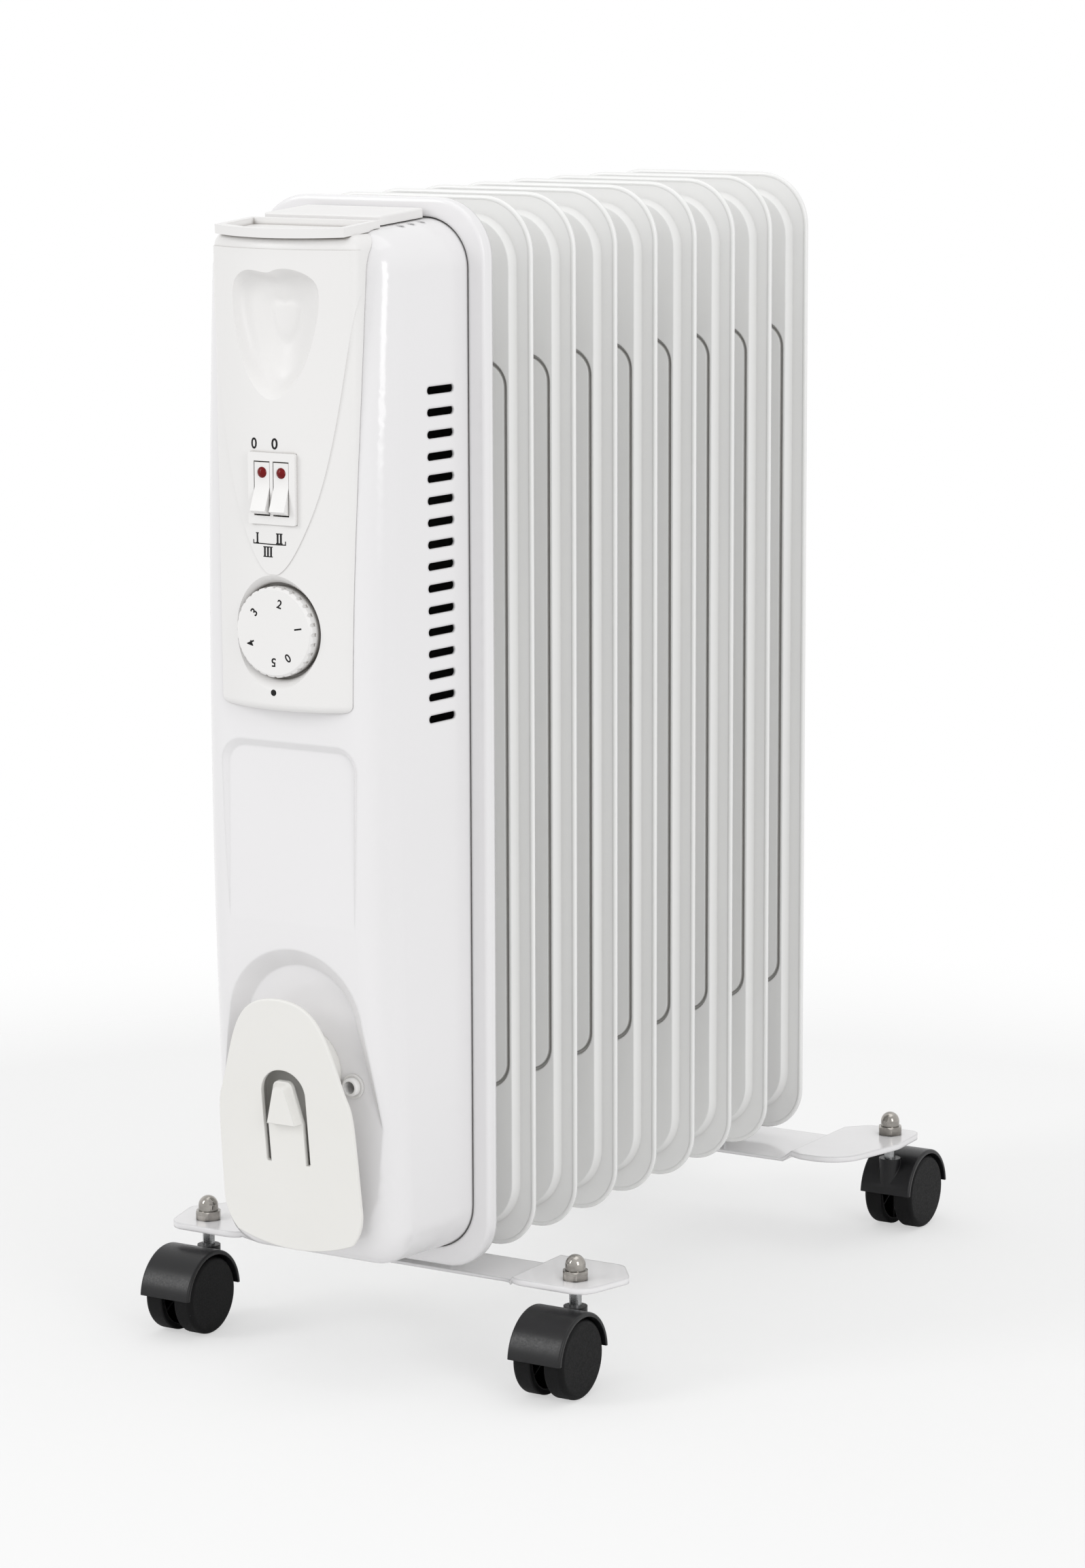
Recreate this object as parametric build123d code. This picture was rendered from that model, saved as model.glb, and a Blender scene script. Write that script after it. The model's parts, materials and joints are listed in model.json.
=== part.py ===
import os
from math import asin, cos, degrees, radians, sin, sqrt, tan

from build123d import *

# Oil filled radiator heater with nine fins, a control cover at the front and four twin-wheel casters.
# Modelling frame, in mm: X across the fins, Y from the controls to the back, Z up.
# Y = 0 is the seam of the first fin and Z = 0 the lower edge of the fins.
# place() then moves every piece so that the origin is on the floor under the middle of the part.

# Fins: two pressed sheets seamed along a flat flange, with an oil channel inside the flange
fin_count = 9
fin_pitch = 44.5
fin_width = 143.0
fin_height = 580.0
fin_top_radius = 30.5
fin_bottom_radius = 26.0
fin_sheet = 0.9
flange_width = 8.8
channel_rise = 5.2
channel_draft = 24.0
channel_corner_radius = 28.0
groove_inset = 13.7
groove_width = 2.8
groove_depth = 2.6
groove_draft = 20.0
panel_low = 91.0
panel_high = 492.0
panel_radius = 14.0
panel_drop = 0.8

# Headers: collars that join the oil spaces of neighbouring fins
header_low_z = 45.0
header_high_z = 532.0
header_radius = 27.0
header_bore = 23.0

# Heating element in the lower header
rod_radius = 4.0
rod_bend = 9.0
rod_offset = 8.0
rod_stop = 30.0
terminal_length = 12.0
flange_plug_radius = 31.0
flange_plug_thickness = 7.0

# Rim that frames the first fin and surrounds the cover
rim_grow = 1.3
rim_front = 5.6
rim_width = 9.8
rim_back = 2.4
rim_edge_radius = 2.0
rim_clearance = 0.3

# Front cover, a bowed pressing
cover_gap = 0.7
cover_wall = 1.2
cover_depth = 87.0
cover_bow_z = 305.0
cover_bow_radius = 3570.0
cover_draft = 3.2
cover_corner_radius = 26.0
cover_edge_radius = 19.0
vent_count = 16
vent_length = 24.0
vent_height = 4.2
vent_low_z = 308.5
vent_pitch = 11.63
vent_y = -30.5
top_hole_radius = 2.0
top_hole_count = 3
top_hole_pitch = 10.0
top_hole_inset = 5.0

# Arched recess behind the cord wrap
arch_top_z = 176.0
arch_half_width = 34.5
arch_shoulder_z = 150.0
arch_foot_half_width = 81.0
arch_low_z = 10.0
arch_draft = 50.0
arch_floor = 77.0
arch_lift = 14.0

# Shallow panel below the control box
dent_top_z = 294.0
dent_low_z = 200.0
dent_half_width = 40.0
dent_depth = 3.0
dent_radius = 10.0
dent_draft = 50.0

# Control box moulding
box_low_z = 316.0
box_high_z = 566.0
box_low_half = 43.5
box_high_half = 46.5
box_low_front = 99.0
box_high_front = 97.0
box_bow = 12.5
box_back = 50.0
box_corner_radius = 9.0
box_low_fillet = 4.5
box_high_fillet = 8.0
box_wall = 2.2
box_seam = 0.3
opening_half = 33.0
opening_low_z = 336.0
opening_high_z = 540.0

# Lip and tray on top of the control box
lip_half = 40.5
lip_corner_y = 90.0
lip_front = 101.0
lip_back = 56.0
lip_top_z = 569.5
lip_height = 4.8
lip_tilt = 4.0
lip_rim = 4.0
lip_root = 8.0
tray_depth = 3.4

# Finger scoop and raised shield on the panel
scoop_top_z = 547.0
scoop_dip = 1.2
scoop_tip_z = 482.0
scoop_half = 29.0
scoop_depth = 13.0
shield_tip_z = 388.0
shield_half = 46.0
shield_top_z = 535.0
shield_rise = 0.5

# Thermostat knob in its dished recess
knob_z = 358.0
knob_radius = 24.0
knob_face_radius = 22.6
knob_face = 99.5
knob_flutes = 28
knob_flute_radius = 1.1
knob_clearance = 0.35
recess_radius = 25.4
recess_floor = 88.8
dish_radius = 35.0
shaft_radius = 3.0
shaft_fit = 0.05
shaft_engagement = 7.0
thermostat_radius = 17.0
thermostat_length = 22.0

# Switches
switch_z = 433.7
bezel_width = 29.4
bezel_height = 37.6
bezel_thickness = 2.6
bezel_face = 99.6
bezel_radius = 1.0
rocker_pitch = 12.0
rocker_width = 9.4
rocker_reach = 14.0
rocker_gap = 0.35
rocker_tip = 11.0
rocker_waist = 3.2
rocker_axis_depth = 3.4
rocker_root = 7.0
rocker_clear = 0.7
lens_radius = 2.9
lens_offset = 7.6
lens_dome = 1.5
switch_body_depth = 22.0
switch_body_inset = 1.2

# Slab on top of the cover
plate_width = 74.0
plate_depth = 42.0
plate_thickness = 5.0
plate_back = 8.0
plate_radius = 2.0
plate_standoff = 0.5

# Cord wrap: plate, drum and gland
wrap_z = 97.0
wrap_front = 94.5
wrap_tilt = 6.6
wrap_thickness = 2.6
wrap_top = 65.0
wrap_bottom = 77.0
wrap_half_top = 29.5
wrap_half_mid = 38.0
wrap_half_low = 44.5
wrap_corner = 15.0
tongue_half = 11.2
tongue_tip = 5.4
tongue_slot = 2.9
tongue_low = -27.5
tongue_arch = 6.3
hook_low = -4.0
hook_high = 19.0
hook_rise = 4.5
drum_half = 25.0
drum_length = 34.0
drum_wall = 2.4
drum_z = 2.0
wrap_screw_radius = 2.0
wrap_screw_head = 3.6
wrap_screw_x = 13.0
gland_radius = 5.0
gland_bore = 3.4
gland_x = 33.0
gland_rise = 16.4
gland_reach = 5.0
gland_tail = 8.0
gland_collar = 6.6

# Parts on the front of the first fin, inside the cover
cutout_radius = 9.0
cutout_length = 12.0
cutout_z = 140.0
block_width = 46.0
block_height = 18.0
block_depth = 20.0
block_z = 205.0
tab_inset = 32.0
tab_ear = 7.0
tab_length = 26.0
tab_thickness = 1.6
tab_rise = 26.0
tab_gap = 0.3
tab_plug_gap = 1.0
cover_screw_radius = 2.0
cover_screw_head = 4.0
cover_screw_height = 2.4
cover_screw_x = 14.0
cover_screw_y = 18.0
screw_fit = 0.15

# Feet: pressed brackets with raised pads and a sunk middle
foot_sheet = 1.8
foot_sink = 6.0
foot_skirt = 3.4
foot_ramp_in = 82.0
foot_ramp_out = 90.0
stem_x = 121.7
front_stem_y = 4.3
rear_stem_y = 20.8
pad_outer = 146.0
pad_front = 17.0
pad_back = 37.0
ubolt_radius = 2.5
ubolt_tail = 0.4
wing_nut_radius = 5.0
wing_nut_height = 4.0
wing_span = 12.0
wing_thickness = 2.2
thread_fit = 0.1

# Casters
wheel_radius = 22.2
wheel_width = 11.6
wheel_gap = 8.6
wheel_tread = 3.4
wheel_face = 2.4
wheel_hub = 5.2
wheel_ribs = 6
wheel_rib = 1.2
wheel_edge = 3.0
axle_radius = 2.5
axle_fit = 0.05
hood_radius = 26.0
hood_half = 16.6
hood_wall = 2.4
hood_lift = 2.0
hood_boss = 6.0
hood_web = 2.6
caster_trail = 18.7
collar_radius = 6.6
collar_height = 23.4
stem_radius = 3.4
stem_fit = 0.05
stem_end = 15.4
stem_thread = 3.9
stem_flange = 6.5
stem_flange_height = 1.8
nut_flats = 13.6
nut_hex = 5.2
nut_dome = 5.6
nut_height = 13.8
floor_gap = 60.5

# Places that follow from the sizes above
fin_half = fin_width / 2
fin_face = fin_sheet + channel_rise
fin_row = (fin_count - 1) * fin_pitch
cover_inset = rim_width - rim_grow + cover_gap
cover_back = rim_front - rim_clearance
axle_z = -floor_gap + wheel_radius
stem_y = {"front": front_stem_y, "rear": fin_row + rear_stem_y}
rocker_end = rocker_tip + degrees(asin(rocker_waist * cos(radians(rocker_tip)) / rocker_reach))
front_reach = bezel_face - rocker_axis_depth + rocker_reach * sin(radians(rocker_end + rocker_tip))
rear_reach = stem_y["rear"] + caster_trail + hood_radius
row_y = (front_reach - rear_reach) / 2
knob_back = recess_floor + knob_clearance


def front_plane(y):
    return Plane(origin=(0, y, 0), x_dir=(1, 0, 0), z_dir=(0, -1, 0))


def back_plane(y):
    return Plane(origin=(0, y, 0), x_dir=(-1, 0, 0), z_dir=(0, 1, 0))


def bar_x(radius, x0, x1, y, z):
    return Pos((x0 + x1) / 2, y, z) * Rot(0, 90, 0) * Cylinder(radius, x1 - x0)


def bar_y(radius, y0, y1, x, z):
    return Pos(x, (y0 + y1) / 2, z) * Rot(90, 0, 0) * Cylinder(radius, y1 - y0)


def bar_z(radius, z0, z1, x, y):
    return Pos(x, y, (z0 + z1) / 2) * Cylinder(radius, z1 - z0)


def block(x0, x1, y0, y1, z0, z1):
    return Pos((x0 + x1) / 2, (y0 + y1) / 2, (z0 + z1) / 2) * Box(x1 - x0, y1 - y0, z1 - z0)


def rounded(half, low, high, low_radius, high_radius):
    # upright rectangle with its own corner radius at the foot and at the head
    sketch = Pos(0, (low + high) / 2) * Rectangle(2 * half, high - low)
    if high_radius:
        sketch = fillet(sketch.vertices().group_by(Axis.Y)[-1], high_radius)
    if low_radius:
        sketch = fillet(sketch.vertices().group_by(Axis.Y)[0], low_radius)
    return sketch


def fin_outline(inset):
    return rounded(
        fin_half - inset,
        inset,
        fin_height - inset,
        fin_bottom_radius - inset,
        fin_top_radius - inset,
    )


def channel_outline(inset, radius):
    return rounded(fin_half - inset, inset, fin_height - inset, radius, radius)


def panel_outline(grow, radius):
    return rounded(
        fin_half - groove_inset + grow,
        panel_low - grow,
        panel_high + grow,
        radius,
        radius,
    )


def both_faces(half):
    return half + mirror(half, about=Plane.XZ)


def fin_pressing():
    # front sheet: flange, sloped channel, groove round the middle panel
    flange = extrude(front_plane(0) * fin_outline(0), fin_sheet)
    foot = channel_outline(flange_width, channel_corner_radius)
    channel = extrude(front_plane(-fin_sheet) * foot, channel_rise, taper=channel_draft)
    inward = back_plane(-fin_face)
    floor = back_plane(groove_depth - fin_face)
    half_groove = groove_width / 2
    narrowing = groove_depth * tan(radians(groove_draft))
    outer = loft([
        inward * panel_outline(half_groove, panel_radius + half_groove),
        floor * panel_outline(half_groove - narrowing, panel_radius + half_groove - narrowing),
    ])
    inner = loft([
        inward * panel_outline(-half_groove, panel_radius - half_groove),
        floor * panel_outline(narrowing - half_groove, panel_radius + narrowing - half_groove),
    ])
    sunk = extrude(inward * panel_outline(0, panel_radius), panel_drop)
    return both_faces(flange + channel - (outer - inner) - sunk)


def make_fins():
    pressing = fin_pressing()
    fins = {}
    for index in range(fin_count):
        first = index == 0
        last = index == fin_count - 1
        back_end = 0 if last else fin_face
        low_bore = bar_y(header_bore, -fin_face, back_end, 0, header_low_z)
        high_bore = bar_y(header_bore, 0 if first else -fin_face, back_end, 0, header_high_z)
        fins[f"fin_{index + 1}"] = Pos(0, index * fin_pitch, 0) * (pressing - low_bore - high_bore)
    return fins


def header_collars(z):
    start = fin_face
    collar = bar_y(header_radius, start, fin_pitch - start, 0, z)
    collar -= bar_y(header_bore, start, fin_pitch - start, 0, z)
    return [Pos(0, index * fin_pitch, 0) * collar for index in range(fin_count - 1)]


def element_flange():
    # plug screwed into the lower header, with a hexagon for the spanner
    seat = bar_y(flange_plug_radius, -fin_face - flange_plug_thickness / 2, -fin_face, 0, header_low_z)
    hexagon = extrude(
        front_plane(-fin_face - flange_plug_thickness / 2)
        * Pos(0, header_low_z)
        * RegularPolygon(header_bore, 6),
        flange_plug_thickness / 2,
    )
    plug = bar_y(header_bore - thread_fit, -fin_face, 0, 0, header_low_z)
    flange = seat + hexagon + plug
    for x in (-rod_offset, rod_offset):
        for z in (-rod_bend, rod_bend):
            flange -= bar_y(rod_radius, -fin_face - flange_plug_thickness, 0, x, header_low_z + z)
    return flange


def heating_rod(x):
    # one hairpin: two legs and a half-round bend at the far end
    near = -fin_face - flange_plug_thickness - terminal_length
    far = fin_row - rod_stop
    path = Wire([
        Line((x, near, header_low_z + rod_bend), (x, far, header_low_z + rod_bend)),
        ThreePointArc(
            (x, far, header_low_z + rod_bend),
            (x, far + rod_bend, header_low_z),
            (x, far, header_low_z - rod_bend),
        ),
        Line((x, far, header_low_z - rod_bend), (x, near, header_low_z - rod_bend)),
    ])
    section = Plane(origin=(x, near, header_low_z + rod_bend), z_dir=(0, 1, 0)) * Circle(rod_radius)
    return sweep(section, path=path)


def cover_outline(inset):
    edge = cover_inset + inset
    return rounded(
        fin_half - edge,
        edge,
        fin_height - edge,
        cover_corner_radius - inset,
        cover_corner_radius - inset,
    )


def cover_frame():
    # flat rim in front of the first fin's flange, with a lip that wraps its edge
    outer = fin_outline(-rim_grow)
    edge = cover_inset - cover_gap
    window = rounded(
        fin_half - edge,
        edge,
        fin_height - edge,
        cover_corner_radius + cover_gap,
        cover_corner_radius + cover_gap,
    )
    rim = extrude(front_plane(rim_back) * outer, rim_back + rim_front)
    front_edges = rim.faces().sort_by(Axis.Y)[0].outer_wire().edges()
    rim = fillet(front_edges, rim_edge_radius)
    rim -= extrude(front_plane(rim_back) * fin_outline(-rim_clearance), rim_back + fin_sheet)
    return rim - extrude(front_plane(rim_back) * window, rim_back + rim_front)


def cover_front(z):
    return -cover_depth + cover_bow_radius - sqrt(cover_bow_radius**2 - (z - cover_bow_z) ** 2)


def cover_body(inset):
    # drafted block cut by a wide cylinder that bows the front, with a large front edge radius
    drafted = extrude(front_plane(-cover_back) * cover_outline(inset), cover_depth + 5, taper=cover_draft)
    bow = bar_x(cover_bow_radius - inset, -fin_width, fin_width, cover_bow_radius - cover_depth, cover_bow_z)
    body = drafted & bow
    front = body.faces().sort_by(Axis.Y)[0]
    return fillet(front.edges(), cover_edge_radius - inset)


def tilted_plane(z, front, tilt, back=0.0):
    # plane facing the front whose head leans forward, moved back along its own normal
    normal = Vector(0, -cos(radians(tilt)), -sin(radians(tilt)))
    origin = Vector(0, -front, z) - normal * back
    return Plane(origin=origin, x_dir=(1, 0, 0), z_dir=normal)


def arch_recess(grow):
    # flat-floored pocket under an arch with sloped walls, running out where the cover bows back
    depth = arch_lift + grow
    spread = depth * tan(radians(arch_draft)) + grow
    top = arch_top_z + spread
    low = arch_low_z - spread
    side = arch_half_width + spread
    foot = arch_foot_half_width + spread
    mouth = make_face([
        ThreePointArc((-side, arch_shoulder_z), (0, top), (side, arch_shoulder_z)),
        Line((side, arch_shoulder_z), (foot, low)),
        Line((foot, low), (-foot, low)),
        Line((-foot, low), (-side, arch_shoulder_z)),
    ])
    return extrude(front_plane(-arch_floor - arch_lift) * mouth, -depth, taper=arch_draft)


def panel_dent(grow):
    # wedge-shaped dent with sloped walls, deepest under the control box and running out downwards
    deep = -cover_front(dent_top_z) - dent_depth
    shallow = -cover_front(dent_low_z)
    height = dent_top_z - dent_low_z
    normal = Vector(0, -height, shallow - deep).normalized()
    lift = 3 * dent_depth
    spread = (lift + grow) * tan(radians(dent_draft)) + grow
    mouth = rounded(dent_half_width + spread, -height - spread, spread, 0, dent_radius + spread)
    origin = Vector(0, -deep, dent_top_z) + normal * lift
    plane = Plane(origin=origin, x_dir=(1, 0, 0), z_dir=normal)
    return extrude(plane * mouth, -lift - grow, taper=dent_draft)


def front_cover():
    outer = cover_body(0) - arch_recess(0) - panel_dent(0)
    inner = cover_body(cover_wall) - arch_recess(cover_wall) - panel_dent(cover_wall)
    cover = outer - inner
    slots = [
        Pos(vent_y, vent_low_z + index * vent_pitch) * SlotOverall(vent_length, vent_height)
        for index in range(vent_count)
    ]
    cover -= extrude(Plane.YZ * Sketch(slots), fin_half, both=True)
    cover -= block(-opening_half, opening_half, -cover_depth, -box_back, opening_low_z, opening_high_z)
    for side in (-1, 1):
        for index in range(top_hole_count):
            x = side * (plate_width / 2 + top_hole_inset)
            y = -plate_back - plate_depth / 2 + (index - (top_hole_count - 1) / 2) * top_hole_pitch
            cover -= bar_z(top_hole_radius, header_high_z, fin_height, x, y)
        x = side * cover_screw_x
        cover -= bar_z(cover_screw_radius + screw_fit, 0, 2 * cover_inset, x, -cover_screw_y)
    for screw in wrap_screws(screw_fit):
        cover -= screw
    return cover - gland_hole()


def box_plan(half, front, z, inset):
    # plan of the control box: bowed front, rounded front corners
    wide = half - inset
    corner = -front + box_bow + inset
    outline = make_face([
        ThreePointArc((-wide, corner), (0, -front + inset), (wide, corner)),
        Line((wide, corner), (wide, -box_back)),
        Line((wide, -box_back), (-wide, -box_back)),
        Line((-wide, -box_back), (-wide, corner)),
    ])
    corners = outline.vertices().group_by(Axis.Y)[0]
    return Plane.XY.offset(z) * fillet(corners, box_corner_radius - inset)


def box_body(inset, low, high):
    slope = (box_high_half - box_low_half) / (box_high_z - box_low_z)
    lean = (box_high_front - box_low_front) / (box_high_z - box_low_z)
    plans = []
    for z in (low, high):
        half = box_low_half + slope * (z - box_low_z)
        front = box_low_front + lean * (z - box_low_z)
        plans.append(box_plan(half, front, z, inset))
    return loft(plans, ruled=True)


def scoop_body(grow):
    # bowl with two soft shoulders and a slight dip at its head, lofted towards its floor
    middle = (scoop_top_z + scoop_tip_z) / 2 + 8
    height = scoop_top_z - scoop_tip_z
    ring = [
        (0, scoop_top_z - scoop_dip),
        (0.59 * scoop_half, scoop_top_z),
        (0.95 * scoop_half, scoop_top_z - 0.09 * height),
        (scoop_half, scoop_top_z - 0.23 * height),
        (0.88 * scoop_half, scoop_top_z - 0.52 * height),
        (0.56 * scoop_half, scoop_top_z - 0.84 * height),
        (0, scoop_tip_z),
    ]
    ring += [(-x, z) for x, z in reversed(ring[1:-1])]
    sections = []
    falls = ((1.1, -0.2), (1.02, -0.02), (0.95, 0.2), (0.86, 0.55), (0.7, 0.82), (0.48, 0.95), (0.22, 1.0))
    for share, depth in falls:
        reach = depth * (scoop_depth + grow)
        points = [(x * share, middle + (z - middle) * share) for x, z in ring]
        grown = []
        for x, z in points:
            length = sqrt(x**2 + (z - middle) ** 2)
            grown.append((x * (1 + grow / length), middle + (z - middle) * (1 + grow / length)))
        sections.append(front_plane(-box_high_front + reach) * make_face(Spline(*grown, periodic=True)))
    return loft(sections)


def shield_prism():
    side = [
        (shield_half, shield_top_z),
        (0.82 * shield_half, shield_tip_z + 0.65 * (shield_top_z - shield_tip_z)),
        (0.63 * shield_half, shield_tip_z + 0.35 * (shield_top_z - shield_tip_z)),
        (0.42 * shield_half, shield_tip_z + 0.165 * (shield_top_z - shield_tip_z)),
        (0, shield_tip_z),
    ]
    left = [(-x, z) for x, z in reversed(side)]
    outline = make_face([
        Spline(*side, *left[1:]),
        Line(left[-1], (-shield_half, box_high_z)),
        Line((-shield_half, box_high_z), (shield_half, box_high_z)),
        Line((shield_half, box_high_z), side[0]),
    ])
    return extrude(front_plane(-box_back) * outline, lip_front)


def lip_plan(inset):
    wide = lip_half - inset
    return make_face([
        ThreePointArc((-wide, -lip_corner_y + inset), (0, -lip_front + inset), (wide, -lip_corner_y + inset)),
        Line((wide, -lip_corner_y + inset), (wide, -lip_back - inset)),
        Line((wide, -lip_back - inset), (-wide, -lip_back - inset)),
        Line((-wide, -lip_back - inset), (-wide, -lip_corner_y + inset)),
    ])


def knob_dish():
    # flat seat for the knob with a flared wall, turned about the knob's axis
    front = box_low_front + 2
    profile = make_face([
        Line((0, recess_floor), (recess_radius, recess_floor)),
        Line((recess_radius, recess_floor), (recess_radius, recess_floor + 3)),
        ThreePointArc(
            (recess_radius, recess_floor + 3),
            ((recess_radius + dish_radius) / 2 - 1, (recess_floor + 3 + front) / 2 + 1.2),
            (dish_radius, front),
        ),
        Line((dish_radius, front), (0, front)),
        Line((0, front), (0, recess_floor)),
    ])
    turned = revolve(profile, axis=Axis.Y)
    return Pos(0, 0, knob_z) * Rot(0, 0, 180) * turned


def control_box(cover_solid):
    body = box_body(0, box_low_z, box_high_z)
    for z, radius in ((box_low_z, box_low_fillet), (box_high_z, box_high_fillet)):
        level = body.edges().filter_by_position(Axis.Z, z - 0.01, z + 0.01)
        body = fillet(level.filter_by_position(Axis.Y, -2 * box_low_front, -box_back - 1), radius)
    raised = box_body(-shield_rise, box_low_z, box_high_z - box_high_fillet) & shield_prism()
    hollow_top = box_high_z - box_high_fillet
    hollow = box_body(box_wall, box_low_z + box_wall, hollow_top)
    bowl = scoop_body(box_wall) & body
    seat = bar_y(dish_radius + box_wall, -box_low_front, -recess_floor + box_wall, 0, knob_z) & body
    tilt = Pos(0, -lip_corner_y, lip_top_z) * Rot(lip_tilt, 0, 0) * Pos(0, lip_corner_y, -lip_top_z)
    lip = extrude(Plane.XY.offset(lip_top_z - lip_height) * lip_plan(0), lip_height)
    tray = extrude(Plane.XY.offset(lip_top_z - tray_depth) * lip_plan(lip_rim), tray_depth)
    box = body + raised - hollow + bowl + seat - scoop_body(0) - knob_dish()
    root = extrude(Plane.XY.offset(lip_top_z - lip_height - lip_root) * lip_plan(2 * lip_rim), lip_root)
    box += tilt * (lip + root)
    box -= tilt * tray
    box -= cover_solid
    box -= bar_y(shaft_radius + 1, -box_low_front, -box_back, 0, knob_z)
    half_w = bezel_width / 2
    half_h = bezel_height / 2
    pocket = block(
        -half_w, half_w, -bezel_face, -bezel_face + bezel_thickness, switch_z - half_h, switch_z + half_h
    )
    inset = switch_body_inset
    hole = block(
        -half_w + inset, half_w - inset, -bezel_face, -box_back,
        switch_z - half_h + inset, switch_z + half_h - inset,
    )
    return box - pocket - hole


def top_plate():
    # slab lying on the drafted top of the cover
    slab = Box(plate_width, plate_depth, plate_thickness)
    slab = fillet(slab.edges().filter_by(Axis.Z), plate_radius)
    slab = fillet(slab.faces().sort_by(Axis.Z)[-1].edges(), plate_radius / 2)
    middle = plate_back + plate_depth / 2
    top = fin_height - cover_inset - (middle - cover_back) * tan(radians(cover_draft))
    seat = Pos(0, -middle, top + plate_standoff) * Rot(cover_draft, 0, 0)
    return seat * Pos(0, 0, plate_thickness / 2) * slab


def rocker_places():
    return {"left": -rocker_pitch / 2, "right": rocker_pitch / 2}


def switch_bezel():
    half_w = bezel_width / 2
    half_h = bezel_height / 2
    bezel = block(
        -half_w, half_w, -bezel_face, -bezel_face + bezel_thickness, switch_z - half_h, switch_z + half_h
    )
    bezel = fillet(bezel.edges().filter_by(Axis.Y), bezel_radius)
    half_window = rocker_width / 2 + rocker_gap
    reach = rocker_reach + rocker_gap
    for x in rocker_places().values():
        bezel -= block(
            x - half_window, x + half_window, -bezel_face, -box_back, switch_z - reach, switch_z + reach
        )
    return bezel


def switch_body():
    # box behind the bezel with a well for each rocker
    half_w = bezel_width / 2 - switch_body_inset - rocker_gap
    half_h = bezel_height / 2 - switch_body_inset - rocker_gap
    front = -bezel_face + bezel_thickness
    body = block(-half_w, half_w, front, front + switch_body_depth, switch_z - half_h, switch_z + half_h)
    half_window = rocker_width / 2 + rocker_gap
    reach = rocker_reach + rocker_gap
    well = rocker_axis_depth + rocker_root + rocker_clear - bezel_thickness
    for x in rocker_places().values():
        body -= block(
            x - half_window, x + half_window, front, front + well, switch_z - reach, switch_z + reach
        )
    return body


def rocker(x):
    # side profile about the pivot: two faces that meet in a shallow valley, round ends, round root
    end = radians(rocker_end)
    tip = radians(rocker_end / 2)
    high = (rocker_reach * cos(end), rocker_reach * sin(end))
    low = (-high[0], high[1])
    side = (rocker_reach, 0)
    outline = make_face([
        Line(high, (0, rocker_waist)),
        Line((0, rocker_waist), low),
        ThreePointArc(low, (-rocker_reach * cos(tip), rocker_reach * sin(tip)), (-rocker_reach, 0)),
        ThreePointArc((-rocker_reach, 0), (0, -rocker_root), side),
        ThreePointArc(side, (rocker_reach * cos(tip), rocker_reach * sin(tip)), high),
    ])
    profile = Plane(origin=(x, 0, 0), x_dir=(0, 0, 1), z_dir=(1, 0, 0)) * outline
    return extrude(profile, rocker_width / 2, both=True)


def rocker_pose():
    # pivot of a rocker, tipped so that its upper face lies flat
    return Pos(0, -bezel_face + rocker_axis_depth, switch_z) * Rot(-rocker_tip, 0, 0)


def lens(x):
    # domed lens set into the rocker's upper face
    dome_radius = (lens_radius**2 + lens_dome**2) / (2 * lens_dome)
    profile = make_face([
        Line((0, -1.0), (lens_radius, -1.0)),
        Line((lens_radius, -1.0), (lens_radius, 0)),
        ThreePointArc(
            (lens_radius, 0),
            (dome_radius * sin(0.5), lens_dome - dome_radius * (1 - cos(0.5))),
            (0, lens_dome),
        ),
        Line((0, lens_dome), (0, -1.0)),
    ])
    dome = revolve(Plane.XZ * profile, axis=Axis.Z)
    tip = radians(rocker_tip)
    seat = rocker_waist + lens_offset * sin(tip) / cos(tip)
    facing = Rot(90, 0, 0) * dome
    return Pos(x, -seat, lens_offset) * Rot(rocker_tip, 0, 0) * facing


def knob():
    # drum with a fluted edge and a softly dished face
    turned = bar_y(knob_radius, -knob_face, -knob_back, 0, knob_z)
    front = turned.faces().sort_by(Axis.Y)[0].edges()
    turned = chamfer(front, knob_radius - knob_face_radius)
    flutes = PolarLocations(knob_radius + knob_flute_radius / 3, knob_flutes)
    cutters = [location * Circle(knob_flute_radius) for location in flutes]
    ring = extrude(front_plane(-knob_face + 4.5) * Pos(0, knob_z) * Sketch(cutters), 6)
    bore = bar_y(shaft_radius, -knob_back - shaft_engagement, -knob_back, 0, knob_z)
    return turned - ring - bore


def thermostat_shaft():
    end = -recess_floor + box_wall + thermostat_length / 2
    return bar_y(shaft_radius, -knob_back - shaft_engagement, end, 0, knob_z)


def thermostat_body():
    # can behind the knob recess with a square terminal board
    front = -recess_floor + box_wall
    can = bar_y(thermostat_radius, front, front + thermostat_length, 0, knob_z)
    board = block(
        -thermostat_radius,
        thermostat_radius,
        front + 0.6 * thermostat_length,
        front + thermostat_length,
        knob_z - thermostat_radius,
        knob_z + thermostat_radius,
    )
    return can + board - bar_y(shaft_radius + shaft_fit, front, front + thermostat_length / 2 + 1, 0, knob_z)


def wrap_plane(back=0.0):
    return tilted_plane(wrap_z, wrap_front, wrap_tilt, back)


def wrap_outline():
    side = [
        (0, wrap_top),
        (wrap_half_top, 0.68 * wrap_top),
        (wrap_half_mid, 0.28 * wrap_top),
        (wrap_half_low, -0.65 * wrap_bottom),
    ]
    corner = (wrap_half_low - 0.45 * wrap_corner, -wrap_bottom + 0.5 * wrap_corner)
    low = (0, -wrap_bottom)
    right = Spline(*side, tangents=((1, 0), (0.02, -1)))
    right_corner = TangentArc(side[-1], corner, tangent=(0.02, -1))
    bottom = ThreePointArc(corner, low, (-corner[0], corner[1]))
    edges = [right, right_corner, bottom, mirror(right_corner, about=Plane.YZ), mirror(right, about=Plane.YZ)]
    return make_face(edges)


def hook_outline(inset):
    half = tongue_half - inset
    tip = tongue_tip - inset
    top = hook_high - inset
    face = make_face(Polyline((-half, hook_low), (half, hook_low), (tip, top), (-tip, top), close=True))
    return fillet(face.vertices().group_by(Axis.Y)[-1], 0.7 * tip)


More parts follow.
